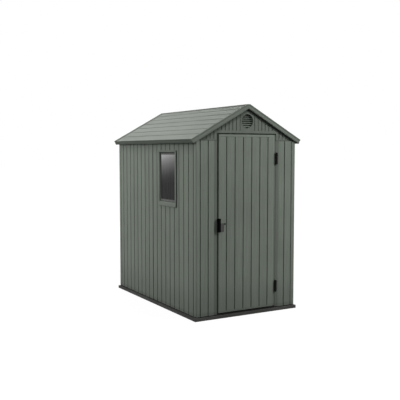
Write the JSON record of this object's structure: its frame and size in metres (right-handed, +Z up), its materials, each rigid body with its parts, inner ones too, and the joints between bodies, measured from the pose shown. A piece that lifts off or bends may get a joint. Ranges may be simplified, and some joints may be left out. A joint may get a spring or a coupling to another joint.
{
  "type": "resin garden shed",
  "caption": "Tall narrow plastic garden shed with moulded board walls, a gable roof, a side window and a hinged front door.",
  "frame": {"origin": "on the ground, under the middle of the floor", "axes": "+X to the right along the front wall, +Y from the front to the back, +Z up; the front wall and door face -Y"},
  "size_m": [1.2578, 1.861, 2.054],
  "materials": {
    "wall_panel": "grey-green resin with moulded wood grain",
    "roof_panel": "grey-green resin with moulded wood grain, paler where light falls on it",
    "trim": "grey-green resin, smooth satin",
    "floor": "charcoal resin, fine texture",
    "steel": "galvanised",
    "dark_frame": "dark grey resin, satin",
    "pane": "clear plastic sheet",
    "black_fitting": "black plastic, satin",
    "black_hinge": "black powder coat"
  },
  "bodies": {
    "shed": {"floor_front": "floor", "floor_rear": "floor", "corner_front_left": "wall_panel", "corner_front_right": "wall_panel", "corner_rear_left": "wall_panel", "corner_rear_right": "wall_panel", "wall_left_front": "wall_panel", "wall_left_rear": "wall_panel", "wall_right_front": "wall_panel", "wall_right_rear": "wall_panel", "wall_rear_left": "wall_panel", "wall_rear_right": "wall_panel", "wall_front_left": "wall_panel", "wall_front_right": "wall_panel", "jamb_left": "wall_panel", "jamb_right": "wall_panel", "door_stops": "wall_panel", "door_head": "wall_panel", "threshold": "floor", "gable_front": "wall_panel", "gable_rear": "wall_panel", "vent_front": "wall_panel", "vent_rear": "wall_panel", "eave_rail_left": "wall_panel", "eave_rail_right": "wall_panel", "roof_left": "roof_panel", "roof_right": "roof_panel", "ridge_cap": "trim", "ridge_beam": "steel", "fascia_left": "trim", "fascia_right": "trim", "barge_front_left": "trim", "barge_front_right": "trim", "barge_rear_left": "trim", "barge_rear_right": "trim", "window_frame": "dark_frame", "window_pane": "pane", "hinge_upper_frame": "black_hinge", "hinge_lower_frame": "black_hinge"},
    "door": {"door_leaf": "wall_panel", "door_handle": "black_fitting", "lock_plate": "dark_frame", "key_cylinder": "black_fitting", "hinge_upper_door": "black_hinge", "hinge_lower_door": "black_hinge"}
  },
  "joints": [
    {"name": "door_hinge", "type": "hinge", "parent": "shed", "child": "door", "pos_m": [0.342, -0.913, 0], "axis": [0, 0, 1], "range_deg": [0, 110]}
  ]
}
